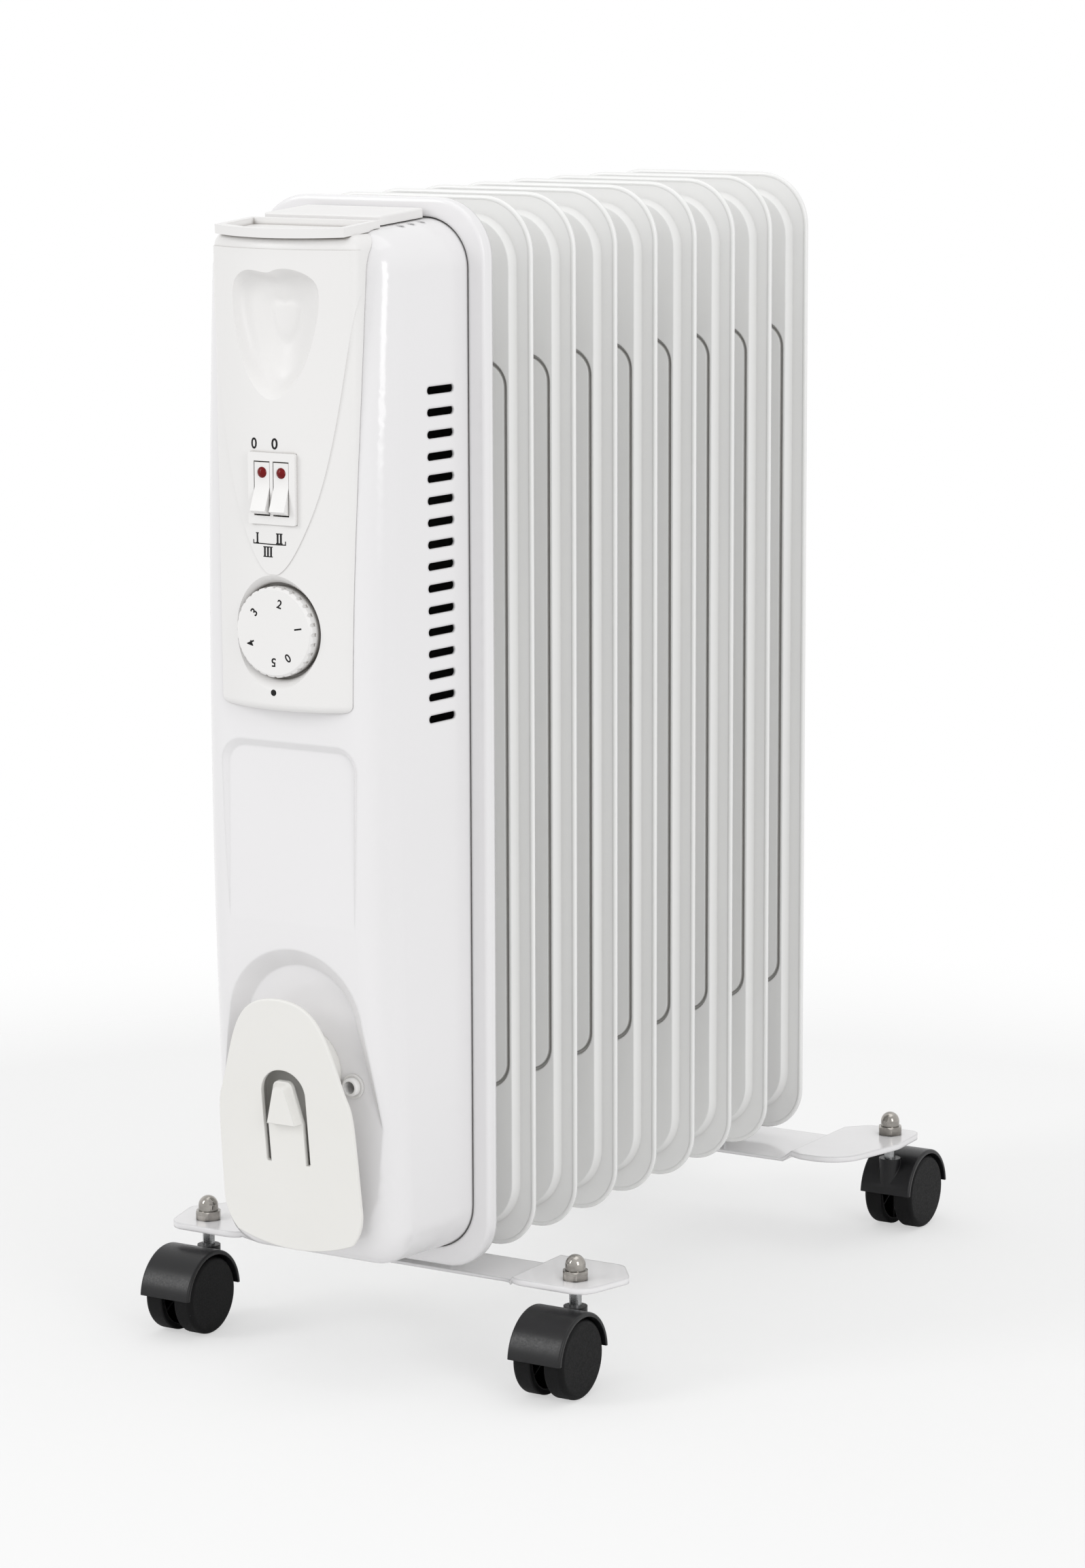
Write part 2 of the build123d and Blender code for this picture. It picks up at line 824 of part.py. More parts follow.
def wrap_window():
    # arched slot that frees a tongue with a tapered head
    outer_half = tongue_half + tongue_slot
    head = hook_high + tongue_arch
    outer = rounded(outer_half, tongue_low, head, tongue_slot / 2.1, outer_half * 0.98)
    root = Pos(0, (hook_low + tongue_low - 1) / 2) * Rectangle(2 * tongue_half, hook_low - tongue_low + 1)
    return outer - (root + hook_outline(0))


def cord_wrap_plate():
    plate = extrude(wrap_plane() * wrap_outline(), -wrap_thickness)
    plate = fillet(plate.faces().sort_by(Axis.Y)[0].edges(), wrap_thickness / 3)
    plate -= extrude(wrap_plane(wrap_thickness) * wrap_window(), 2 * wrap_thickness)
    hook = loft([wrap_plane() * hook_outline(0.6), wrap_plane(-hook_rise) * hook_outline(2.2)])
    return plate + hook


def drum_outline(half):
    return Pos(0, drum_z) * Rot(0, 0, 90) * SlotCenterToCenter(drum_length, 2 * half)


def behind(y):
    return block(-fin_half, fin_half, y, 0, 0, fin_height)


def cord_wrap_drum():
    # hollow oval drum between the plate and the floor of the recess
    reach = 2 * (wrap_front - arch_floor)
    drum = extrude(wrap_plane(wrap_thickness) * drum_outline(drum_half), -reach)
    hollow = extrude(wrap_plane(wrap_thickness) * drum_outline(drum_half - drum_wall), -reach)
    drum -= hollow - behind(-arch_floor - drum_wall)
    drum -= behind(-arch_floor)
    for screw in wrap_screws(screw_fit):
        drum -= screw
    return drum


def wrap_screws(fit):
    # two screws through the drum's floor and the cover
    seat = -arch_floor - drum_wall
    z = wrap_z + drum_z
    screws = []
    for x in (-wrap_screw_x, wrap_screw_x):
        shank = bar_y(wrap_screw_radius + fit, seat, seat + 3 * drum_wall, x, z)
        if fit:
            screws.append(shank)
        else:
            screws.append(shank + bar_y(wrap_screw_head, seat - drum_wall, seat, x, z))
    return screws


def gland_place():
    return front_plane(-arch_floor) * Pos(gland_x, wrap_z + gland_rise)


def gland_hole():
    return extrude(gland_place() * Circle(gland_radius), gland_tail, both=True)


def cord_gland():
    # bush for the mains cord, with a collar on the floor of the recess
    place = gland_place()
    bush = extrude(place * Circle(gland_radius), gland_reach)
    bush = fillet(bush.faces().sort_by(Axis.Y)[0].edges(), 1.2)
    bush += extrude(place * Circle(gland_radius), -gland_tail)
    bush += extrude(place * Circle(gland_collar), 1.2)
    return bush - extrude(place * Circle(gland_bore), 2 * gland_tail, both=True)


def thermal_cutout():
    can = bar_y(cutout_radius, -fin_face - cutout_length, -fin_face, 0, cutout_z)
    reach = 2 * cutout_radius
    ears = block(-reach, reach, -fin_face - 1.5, -fin_face, cutout_z - 5, cutout_z + 5)
    return can + ears


def terminal_block():
    # moulded strip with a row of screw wells
    strip = block(
        -block_width / 2,
        block_width / 2,
        -fin_face - block_depth,
        -fin_face,
        block_z - block_height / 2,
        block_z + block_height / 2,
    )
    for index in range(4):
        x = (index - 1.5) * block_width / 4
        strip -= bar_y(3.2, -fin_face - block_depth, -fin_face - block_depth / 2, x, block_z)
    return strip


def cover_floor(y):
    # height of the cover's inner bottom at a distance in front of the first fin
    return cover_inset + cover_wall + (y - cover_back) * tan(radians(cover_draft))


def cover_tab():
    # angle on the first fin that the cover is screwed to from below, with an ear at each end
    shelf = cover_floor(tab_length + fin_face) + tab_gap
    tab_half = fin_half - tab_inset
    tab = block(-tab_half, tab_half, -fin_face - tab_length, -fin_face, shelf, shelf + tab_thickness)
    plug_room = bar_y(flange_plug_radius + tab_plug_gap, -fin_face - tab_thickness, -fin_face, 0, header_low_z)
    for side in (-1, 1):
        middle = side * (tab_half - tab_ear / 2)
        ear = block(
            middle - tab_ear / 2, middle + tab_ear / 2,
            -fin_face - tab_thickness, -fin_face, shelf, shelf + tab_rise,
        )
        tab += ear - plug_room
        hole_x = side * cover_screw_x
        tab -= bar_z(cover_screw_radius + screw_fit, shelf - 1, shelf + 3, hole_x, -cover_screw_y)
    return tab


def cover_screws():
    screws = []
    under = cover_floor(cover_screw_y) - cover_wall - cover_screw_head * tan(radians(cover_draft))
    for x in (-cover_screw_x, cover_screw_x):
        shank = bar_z(cover_screw_radius, under, under + 9, x, -cover_screw_y)
        head = bar_z(cover_screw_head, under - cover_screw_height, under, x, -cover_screw_y)
        head = fillet(head.faces().sort_by(Axis.Z)[0].edges(), 1.2)
        screws.append(shank + head)
    return screws


def foot_plan(points, radii):
    # right half of a foot given by corners and their radii, mirrored to the left
    corners = [*points, *[(-x, y) for x, y in reversed(points)]]
    sketch = make_face(Polyline(*corners, close=True))
    for (x, y), radius in zip(points, radii):
        for side in (-1, 1):
            near = sketch.vertices().sort_by_distance(Vector(side * x, y, 0))[0]
            if radius:
                sketch = fillet(near, radius)
    return sketch


def foot(plan):
    # sheet with raised pads, a sunk middle and down-turned skirts round the pads
    outer = pad_outer + 10
    band = [
        (-outer, 0), (-foot_ramp_out, 0), (-foot_ramp_in, -foot_sink), (foot_ramp_in, -foot_sink),
        (foot_ramp_out, 0), (outer, 0), (outer, -foot_sheet), (foot_ramp_out + 1, -foot_sheet),
        (foot_ramp_in + 1, -foot_sink - foot_sheet), (-foot_ramp_in - 1, -foot_sink - foot_sheet),
        (-foot_ramp_out - 1, -foot_sheet), (-outer, -foot_sheet),
    ]
    sheet = extrude(front_plane(2 * fin_row) * make_face(Polyline(*band, close=True)), 4 * fin_row)
    prism = extrude(Plane.XY.offset(-20) * plan, 40)
    bracket = sheet & prism
    hollow = extrude(Plane.XY.offset(-20) * offset(plan, -foot_sheet), 40)
    skirt = extrude(Plane.XY.offset(-foot_skirt) * plan, foot_skirt) - hollow
    for side in (-1, 1):
        keep = block(
            min(side * foot_ramp_out, side * outer), max(side * foot_ramp_out, side * outer),
            -2 * fin_row, 2 * fin_row, -foot_skirt, 0,
        )
        bracket += skirt & keep
    return bracket


def front_foot_plan():
    y = stem_y["front"]
    points = [
        (0, 3.5), (foot_ramp_in - 2, 3.5), (foot_ramp_out + 2, y - pad_front), (pad_outer - 9, y - pad_front),
        (pad_outer, y + pad_front), (pad_outer - 15, y + pad_back), (0, y + pad_back),
    ]
    return foot_plan(points[1:-1], [6, 12, 12, 8, 8])


def rear_foot_plan():
    y = stem_y["rear"]
    inner = fin_row - fin_pitch
    points = [
        (foot_ramp_in + 2, inner), (foot_ramp_out + 8, inner - 6),
        (stem_x + 3.3, inner - 6), (pad_outer - 8, y - 20),
        (pad_outer - 10, y + 14), (foot_ramp_out + 12, y + 14), (foot_ramp_out - 2, y - 1),
    ]
    return foot_plan(points, [10, 10, 24, 30, 8, 10, 10])


def drilled_foot(plan, stem, bolt_y):
    bracket = foot(plan)
    for side in (-1, 1):
        bracket -= bar_z(stem_thread + thread_fit, -20, 20, side * stem_x, stem)
        bracket -= bar_z(ubolt_radius + thread_fit, -20, 20, side * ubolt_half(), bolt_y)
    return bracket


def ubolt_half():
    return header_radius + ubolt_radius + rim_clearance


def foot_ubolt(y):
    # round bar over the lower header, with both legs through the foot
    half = ubolt_half()
    low = -foot_sink - foot_sheet - wing_nut_height - ubolt_tail
    path = Wire([
        Line((-half, y, low), (-half, y, header_low_z)),
        ThreePointArc((-half, y, header_low_z), (0, y, header_low_z + half), (half, y, header_low_z)),
        Line((half, y, header_low_z), (half, y, low)),
    ])
    section = Plane(origin=(-half, y, low), z_dir=(0, 0, 1)) * Circle(ubolt_radius)
    return sweep(section, path=path)


def wing_nut(x, y):
    top = -foot_sink - foot_sheet
    boss = bar_z(wing_nut_radius, top - wing_nut_height, top, x, y)
    wings = make_face([
        Line((-wing_span, top - wing_nut_height), (wing_span, top - wing_nut_height)),
        Line((wing_span, top - wing_nut_height), (wing_span, top - 0.7 * wing_nut_height)),
        Line((wing_span, top - 0.7 * wing_nut_height), (wing_nut_radius, top - 0.2 * wing_nut_height)),
        Line((wing_nut_radius, top - 0.2 * wing_nut_height), (-wing_nut_radius, top - 0.2 * wing_nut_height)),
        Line((-wing_nut_radius, top - 0.2 * wing_nut_height), (-wing_span, top - 0.7 * wing_nut_height)),
        Line((-wing_span, top - 0.7 * wing_nut_height), (-wing_span, top - wing_nut_height)),
    ])
    ears = Pos(x, y, 0) * extrude(front_plane(0) * wings, wing_thickness / 2, both=True)
    return boss + ears - bar_z(ubolt_radius + thread_fit, -40, 0, x, y)


def caster_stem(x, y):
    # plain pin in the hood, flange under the pad, threaded end above it
    low = axle_z + stem_end
    flange_low = -foot_sheet - stem_flange_height
    pin = bar_z(stem_radius, low, flange_low, x, y)
    flange = bar_z(stem_flange, flange_low, -foot_sheet, x, y)
    thread = bar_z(stem_thread, -foot_sheet, nut_height - nut_dome + 1, x, y)
    return pin + flange + thread


def acorn_nut(x, y):
    # hexagon with rounded corners below a domed cap
    hexagon = extrude(RegularPolygon(nut_flats / 2, 6, major_radius=False), nut_hex)
    blunt = Cylinder(nut_flats / 2 * 1.1, nut_hex, align=(Align.CENTER, Align.CENTER, Align.MIN))
    blunt = chamfer(blunt.edges().filter_by(GeomType.CIRCLE), 0.6)
    straight = Cylinder(nut_dome, nut_height - nut_dome, align=(Align.CENTER, Align.CENTER, Align.MIN))
    dome = Pos(0, 0, nut_height - nut_dome) * Sphere(nut_dome)
    bore = Cylinder(
        stem_thread + thread_fit, nut_height - nut_dome + 1.5, align=(Align.CENTER, Align.CENTER, Align.MIN)
    )
    return Pos(x, y, 0) * ((hexagon & blunt) + straight + dome - bore)


def hood(x, y, heading):
    # arched hood over both wheels, a web for the axle between them and a socket for the stem
    full = bar_x(hood_radius, -hood_half, hood_half, 0, axle_z)
    full = fillet(full.edges().filter_by(GeomType.CIRCLE), 1.2)
    socket = bar_z(collar_radius, axle_z, axle_z + collar_height, 0, -caster_trail)
    shape = full + socket
    tunnel_radius = hood_radius - hood_wall
    for side in (-1, 1):
        inner = min(side * hood_web, side * 2 * hood_half)
        outer = max(side * hood_web, side * 2 * hood_half)
        shape -= bar_x(tunnel_radius, inner, outer, 0, axle_z)
    skirt = axle_z + hood_lift
    shape -= block(-hood_half * 2, hood_half * 2, -2 * hood_radius, 2 * hood_radius, skirt - 50, skirt)
    shape += bar_x(hood_boss, -hood_web, hood_web, 0, axle_z)
    socket_low = axle_z + stem_end - 0.4
    shape -= bar_z(stem_radius + stem_fit, socket_low, axle_z + 2 * collar_height, 0, -caster_trail)
    shape -= bar_x(axle_radius, -hood_half, hood_half, 0, axle_z)
    return caster_place(x, y, heading) * shape


def caster_place(x, y, heading):
    # the stem is at the given point and the wheels trail towards the heading
    return Pos(x, y, 0) * Rot(0, 0, heading) * Pos(0, caster_trail, 0)


def wheel(side):
    # tread, closed outer face and ribbed inside, turned about the axle
    inner = wheel_gap / 2
    outer = inner + wheel_width
    profile = make_face(Polyline(
        (inner, axle_radius + axle_fit), (inner, wheel_hub), (outer - wheel_face, wheel_hub),
        (outer - wheel_face, wheel_radius - wheel_tread), (inner, wheel_radius - wheel_tread),
        (inner, wheel_radius), (outer, wheel_radius), (outer, 0),
        (outer - wheel_face / 2, 0), (outer - wheel_face / 2, axle_radius + axle_fit),
        close=True,
    ))
    rim = profile.vertices().sort_by_distance(Vector(outer, wheel_radius, 0))[0]
    profile = fillet(rim, wheel_edge)
    tread = profile.vertices().sort_by_distance(Vector(inner, wheel_radius, 0))[0]
    profile = fillet(tread, wheel_edge / 3)
    turned = revolve(profile, axis=Axis.X)
    for index in range(wheel_ribs):
        rib = block(
            inner + 2, outer - wheel_face, -wheel_rib / 2, wheel_rib / 2,
            wheel_hub - 0.5, wheel_radius - wheel_tread + 0.5,
        )
        turned += Rot(index * 360 / wheel_ribs, 0, 0) * rib
    if side < 0:
        turned = Rot(0, 0, 180) * turned
    return Pos(0, 0, axle_z) * turned


def axle():
    half = wheel_gap / 2 + wheel_width - wheel_face / 2 - 0.2
    return bar_x(axle_radius, -half, half, 0, axle_z)


def caster_corners():
    corners = {}
    for end, heading in (("front", 180), ("rear", 0)):
        for hand, sign in (("left", -1), ("right", 1)):
            corners[f"{end}_{hand}"] = (sign * stem_x, stem_y[end], heading)
    return corners


def build_nodes():
    nodes = make_fins()
    nodes["upper_headers"] = Compound(header_collars(header_high_z))
    nodes["lower_headers"] = Compound(header_collars(header_low_z))
    nodes["element_flange"] = element_flange()
    nodes["heating_rods"] = Compound([heating_rod(-rod_offset), heating_rod(rod_offset)])
    nodes["cover_frame"] = cover_frame()
    nodes["front_cover"] = front_cover()
    nodes["control_box"] = control_box(cover_body(-box_seam))
    nodes["top_plate"] = top_plate()
    nodes["switch_bezel"] = switch_bezel()
    nodes["switch_body"] = switch_body()
    for hand, x in rocker_places().items():
        socket = rocker_pose() * lens(x)
        nodes[f"rocker_{hand}"] = rocker_pose() * rocker(x) - socket
        nodes[f"lens_{hand}"] = socket
    nodes["knob"] = knob()
    nodes["thermostat_shaft"] = thermostat_shaft()
    nodes["thermostat_body"] = thermostat_body()
    nodes["thermal_cutout"] = thermal_cutout()
    nodes["terminal_block"] = terminal_block()
    nodes["cord_wrap_plate"] = cord_wrap_plate()
    nodes["cord_wrap_drum"] = cord_wrap_drum()
    nodes["wrap_screws"] = Compound(wrap_screws(0))
    nodes["cord_gland"] = cord_gland()
    nodes["cover_tab"] = cover_tab()
    nodes["cover_screws"] = Compound(cover_screws())
    front_bolt = fin_pitch / 2
    rear_bolt = fin_row - fin_pitch / 2
    nodes["foot_front"] = drilled_foot(front_foot_plan(), stem_y["front"], front_bolt)
    nodes["foot_rear"] = drilled_foot(rear_foot_plan(), stem_y["rear"], rear_bolt)
    nodes["foot_ubolts"] = Compound([foot_ubolt(front_bolt), foot_ubolt(rear_bolt)])
    wing_places = [(side * ubolt_half(), y) for side in (-1, 1) for y in (front_bolt, rear_bolt)]
    nodes["foot_wing_nuts"] = Compound([wing_nut(x, y) for x, y in wing_places])
    corners = caster_corners()
    nodes["caster_stems"] = Compound([caster_stem(x, y) for x, y, heading in corners.values()])
    nodes["acorn_nuts"] = Compound([acorn_nut(x, y) for x, y, heading in corners.values()])
    wheels = {-1: wheel(-1), 1: wheel(1)}
    for corner, (x, y, heading) in corners.items():
        place = caster_place(x, y, heading)
        nodes[f"hood_{corner}"] = hood(x, y, heading)
        nodes[f"axle_{corner}"] = place * axle()
        turn = 1 if heading == 0 else -1
        nodes[f"wheel_{corner}_left"] = place * wheels[-turn]
        nodes[f"wheel_{corner}_right"] = place * wheels[turn]
    return nodes


def main():
    os.makedirs("parts", exist_ok=True)
    place = Pos(0, row_y, floor_gap)
    for name, shape in build_nodes().items():
        export_step(place * shape, f"parts/{name}.step")


main()
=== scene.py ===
import json
import math
import bpy
import numpy as np
from mathutils import Matrix, Vector


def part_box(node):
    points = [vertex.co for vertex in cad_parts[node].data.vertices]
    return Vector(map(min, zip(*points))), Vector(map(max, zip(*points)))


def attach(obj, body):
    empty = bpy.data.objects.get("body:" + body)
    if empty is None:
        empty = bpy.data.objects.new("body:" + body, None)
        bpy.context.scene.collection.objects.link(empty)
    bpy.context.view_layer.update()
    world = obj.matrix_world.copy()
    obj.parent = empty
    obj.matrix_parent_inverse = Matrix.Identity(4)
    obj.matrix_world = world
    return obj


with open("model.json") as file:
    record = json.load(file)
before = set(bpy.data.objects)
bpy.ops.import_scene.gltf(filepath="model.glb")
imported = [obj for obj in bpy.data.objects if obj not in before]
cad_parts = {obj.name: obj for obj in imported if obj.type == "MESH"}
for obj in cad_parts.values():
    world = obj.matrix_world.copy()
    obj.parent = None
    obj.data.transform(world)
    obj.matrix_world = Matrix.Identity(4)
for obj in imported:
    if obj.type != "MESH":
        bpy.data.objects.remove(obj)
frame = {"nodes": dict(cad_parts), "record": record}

nodes = frame["nodes"]
scene = bpy.context.scene
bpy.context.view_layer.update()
print("frame loaded,", len(nodes), "nodes")

# the first fin gives the two reference levels: its seam and its foot
finLow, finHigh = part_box("fin_1")
seamY = (finLow.y + finHigh.y) / 2
footZ = finLow.z
mm = 0.001


def linear(hexCode):
    # sRGB hex to linear RGBA
    channels = np.array([int(hexCode[i:i + 2], 16) for i in (1, 3, 5)]) / 255
    low = channels / 12.92
    high = ((channels + 0.055) / 1.055) ** 2.4
    return (*np.where(channels <= 0.04045, low, high).tolist(), 1.0)


def addNode(tree, kind, settings=None, inputs=None):
    # one node with its properties, socket values and links
    node = tree.nodes.new(kind)
    for name, value in (settings or {}).items():
        setattr(node, name, value)
    for socket, value in (inputs or {}).items():
        if isinstance(value, bpy.types.NodeSocket):
            tree.links.new(value, node.inputs[socket])
        else:
            node.inputs[socket].default_value = value
    return node


def newMaterial(name):
    material = bpy.data.materials.new(name)
    material.use_nodes = True
    material.node_tree.nodes.clear()
    return material, material.node_tree


# what all the finishes share
surface = {
    "driftDetail": 2.0, "driftRough": 0.5,
    "speckDetail": 3.0, "speckRough": 0.7, "speckSoft": 0.06,
    "dustFull": 0.2, "dustNone": 0.8,           # how open a crease is where its painted shade is full, and where there is none
    "wallTurn": -0.01, "backTurn": -0.3,        # how far a face turns inwards, or forwards, to take the painted inside shade
    "peelDetail": 2.0, "peelRough": 0.55, "peelLow": 0.3, "peelHigh": 0.7,
    "rays": 6, "coatRough": 0.08, "ior": 1.5,
}


def surfaced(name, spec):
    # a moulded, enamelled or plated surface: base tone with slow drift, dust in grain, painted shade in
    # creases and on faces inside the cover, fine bump, softened edges
    material, tree = newMaterial(name)
    place = addNode(tree, "ShaderNodeTexCoord").outputs["Object"]
    drift = addNode(tree, "ShaderNodeTexNoise", None, {
        "Vector": place, "Scale": 1 / (spec["driftMm"] * mm),
        "Detail": surface["driftDetail"], "Roughness": surface["driftRough"],
    })
    layers = [(drift.outputs["Fac"], spec["tone"][1])]
    if spec.get("speckMm"):
        grains = addNode(tree, "ShaderNodeTexNoise", None, {
            "Vector": place, "Scale": 1 / (spec["speckMm"] * mm),
            "Detail": surface["speckDetail"], "Roughness": surface["speckRough"],
        })
        specks = addNode(tree, "ShaderNodeMapRange", None, {
            "Value": grains.outputs["Fac"],
            "From Min": spec["speckFrom"], "From Max": spec["speckFrom"] + surface["speckSoft"],
            "To Min": 0.0, "To Max": spec["speckShare"],
        })
        layers.append((specks.outputs["Result"], spec["speckTone"]))
    if spec.get("creaseMm"):
        # painted shade in grooves and gaps: darker where near walls hide the surface
        near = addNode(tree, "ShaderNodeAmbientOcclusion", {"samples": surface["rays"]}, {
            "Distance": spec["creaseMm"] * mm,
        })
        paintedShade = addNode(tree, "ShaderNodeMapRange", None, {
            "Value": near.outputs["AO"], "From Min": surface["dustFull"], "From Max": surface["dustNone"],
            "To Min": spec["creaseShare"], "To Max": 0.0,
        })
        layers.append((paintedShade.outputs["Result"], spec["creaseTone"]))
    if spec.get("bareMm"):
        # painted shade on faces inside the cover, where little light gets in:
        # walls that face the middle, or a back that faces forward
        facing = addNode(tree, "ShaderNodeNewGeometry").outputs["True Normal"]
        turned = addNode(tree, "ShaderNodeSeparateXYZ", None, {"Vector": facing})
        spot = addNode(tree, "ShaderNodeSeparateXYZ", None, {"Vector": place})
        apart = addNode(tree, "ShaderNodeMath", {"operation": "ABSOLUTE"}, {0: spot.outputs["X"]})
        side = "GREATER_THAN" if spec["bareWall"] else "LESS_THAN"
        reach = addNode(tree, "ShaderNodeMath", {"operation": side}, {
            0: apart.outputs["Value"], 1: spec["bareMm"] * mm,
        })
        if spec["bareWall"]:
            inward = addNode(tree, "ShaderNodeMath", {"operation": "MULTIPLY"}, {
                0: spot.outputs["X"], 1: turned.outputs["X"],
            })
            inner = addNode(tree, "ShaderNodeMath", {"operation": "LESS_THAN"}, {
                0: inward.outputs["Value"], 1: surface["wallTurn"],
            })
        else:
            forward = addNode(tree, "ShaderNodeMath", {"operation": "LESS_THAN"}, {
                0: turned.outputs["Y"], 1: surface["backTurn"],
            })
            level = addNode(tree, "ShaderNodeMath", {"operation": "COMPARE"}, {
                0: spot.outputs["Z"], 1: spec["bareMidMm"] * mm, 2: spec["bareHalfMm"] * mm,
            })
            inner = addNode(tree, "ShaderNodeMath", {"operation": "MULTIPLY"}, {
                0: forward.outputs["Value"], 1: level.outputs["Value"],
            })
        paintedInside = addNode(tree, "ShaderNodeMath", {"operation": "MULTIPLY"}, {
            0: inner.outputs["Value"], 1: reach.outputs["Value"],
        })
        layers.append((paintedInside.outputs["Value"], spec["bareTone"]))
    tone = linear(spec["tone"][0])
    for share, hexCode in layers:
        # the mix node's colour sockets have the numbers 6 and 7 going in, 2 coming out
        mixed = addNode(tree, "ShaderNodeMix", {"data_type": "RGBA"}, {0: share, 6: tone, 7: linear(hexCode)})
        tone = mixed.outputs[2]
    peel = addNode(tree, "ShaderNodeTexNoise", None, {
        "Vector": place, "Scale": 1 / (spec["peelMm"] * mm),
        "Detail": surface["peelDetail"], "Roughness": surface["peelRough"],
    })
    sheen = addNode(tree, "ShaderNodeMapRange", None, {
        "Value": peel.outputs["Fac"], "From Min": surface["peelLow"], "From Max": surface["peelHigh"],
        "To Min": spec["rough"][0], "To Max": spec["rough"][1],
    })
    bump = addNode(tree, "ShaderNodeBump", None, {
        "Strength": spec["peelStrength"], "Distance": spec["peelDepthMm"] * mm, "Height": peel.outputs["Fac"],
    })
    if spec.get("edgeMm"):
        soft = addNode(tree, "ShaderNodeBevel", {"samples": surface["rays"]}, {"Radius": spec["edgeMm"] * mm})
        tree.links.new(soft.outputs["Normal"], bump.inputs["Normal"])
    shader = addNode(tree, "ShaderNodeBsdfPrincipled", None, {
        "Base Color": tone, "Roughness": sheen.outputs["Result"], "Normal": bump.outputs["Normal"],
        "Metallic": spec.get("metallic", 0.0), "IOR": spec.get("ior", surface["ior"]),
        "Coat Weight": spec.get("coat", 0.0), "Coat Roughness": surface["coatRough"],
    })
    addNode(tree, "ShaderNodeOutputMaterial", None, {"Surface": shader.outputs["BSDF"]})
    return material


# stove enamel on pressed sheet: even and glossy, flowing round the edges so that they catch light
coverEnamel = {
    "tone": ("#E6E5E6", "#EAE9EA"), "driftMm": 180, "peelMm": 9, "peelStrength": 0.02, "peelDepthMm": 0.3,
    "rough": (0.14, 0.19), "coat": 0.3, "edgeMm": 2.2,
    # painted shade in the cover's creases and in the gap at its rim
    "creaseMm": 3.0, "creaseShare": 0.35, "creaseTone": "#98948E",
}
stoveEnamelCover = surfaced("stoveEnamelCover", coverEnamel)
# the same enamel on the cover, with painted shade on its inside walls so that the slots look dark
stoveEnamelShell = surfaced("stoveEnamelShell", coverEnamel | {
    "bareWall": True, "bareMm": 54.0, "bareTone": "#2E2D2C",
})
# the same enamel dipped on the fins, a touch greyer and flatter
finEnamel = {
    "tone": ("#EAEAE9", "#EEEEED"), "driftMm": 120, "peelMm": 8, "peelStrength": 0.03, "peelDepthMm": 0.3,
    "rough": (0.18, 0.24), "coat": 0.2, "edgeMm": 1.2,
    # painted shade, deep and dark, in the fins' grooves and channels
    "creaseMm": 9.0, "creaseShare": 0.85, "creaseTone": "#8F8C87",
}
stoveEnamelFins = surfaced("stoveEnamelFins", finEnamel)
# the first fin's enamel, with painted shade on the middle of its front, behind the cover, and lighter in its
# creases
primedFin = surfaced("primedFin", finEnamel | {
    "bareWall": False, "bareMm": 52.0, "bareMidMm": 345.0, "bareHalfMm": 260.0, "bareTone": "#2E2D2C",
    "creaseShare": 0.3,
})
# injection moulded ABS: slightly warmer white, soft gloss
mouldedAbs = surfaced("mouldedAbs", {
    "tone": ("#E7E6E5", "#EAE9E8"), "driftMm": 90, "peelMm": 12, "peelStrength": 0.01, "peelDepthMm": 0.2,
    "rough": (0.36, 0.42),
    # painted shade in the box's creases and gaps
    "creaseMm": 2.5, "creaseShare": 0.8, "creaseTone": "#7D766D",
})
# the same ABS from a finely etched mould, for the small parts: a shade lighter and duller, with painted shade
# in gaps
etchedAbs = surfaced("etchedAbs", {
    "tone": ("#E8E7E6", "#EBEAE9"), "driftMm": 60, "peelMm": 10, "peelStrength": 0.01, "peelDepthMm": 0.1,
    "rough": (0.42, 0.48),
    "creaseMm": 2.5, "creaseShare": 0.85, "creaseTone": "#6E675E",
})
# polypropylene with a spark-eroded mould texture: satin, milky;
# the grain is drawn coarser than real, so that it shows
mouldedPolypropylene = surfaced("mouldedPolypropylene", {
    "tone": ("#E5E4E0", "#E9E8E5"), "driftMm": 60, "peelMm": 1.4, "peelStrength": 0.05, "peelDepthMm": 0.06,
    "rough": (0.40, 0.48), "edgeMm": 0.8,
})
# glass filled nylon on the casters: near black, dull, with pale dust caught in the grain;
# grain and dust are drawn coarser than real, so that they show
mouldedNylon = surfaced("mouldedNylon", {
    "tone": ("#0C0C0E", "#131315"), "driftMm": 14, "peelMm": 1.2, "peelStrength": 0.12, "peelDepthMm": 0.08,
    "rough": (0.28, 0.40), "speckMm": 1.6, "speckFrom": 0.70, "speckShare": 0.16, "speckTone": "#6A6A6D",
    "edgeMm": 0.8, "ior": 1.42,
})
# the wheels, of the same nylon, scuffed by the floor: darker and duller
scuffedNylon = surfaced("scuffedNylon", {
    "tone": ("#080809", "#0D0D0E"), "driftMm": 9, "peelMm": 1.0, "peelStrength": 0.16, "peelDepthMm": 0.08,
    "rough": (0.45, 0.62), "speckMm": 1.4, "speckFrom": 0.69, "speckShare": 0.2, "speckTone": "#6A6A6D",
    "edgeMm": 0.8, "ior": 1.25,
})
# phenolic mouldings inside the cover: dark and matt
mouldedPhenolic = surfaced("mouldedPhenolic", {
    "tone": ("#1A1714", "#26211C"), "driftMm": 20, "peelMm": 1.2, "peelStrength": 0.1, "peelDepthMm": 0.08,
    "rough": (0.5, 0.6), "edgeMm": 0.4,
})
# bright nickel over turned steel: mirror-like, cloudy, with painted shade where it meets the foot
nickelPlate = surfaced("nickelPlate", {
    "tone": ("#5F5B56", "#C9C5BF"), "driftMm": 7, "peelMm": 0.9, "peelStrength": 0.03, "peelDepthMm": 0.03,
    "rough": (0.08, 0.14), "metallic": 1.0, "edgeMm": 0.2,
    "creaseMm": 5.0, "creaseShare": 0.9, "creaseTone": "#1E1C1A",
})
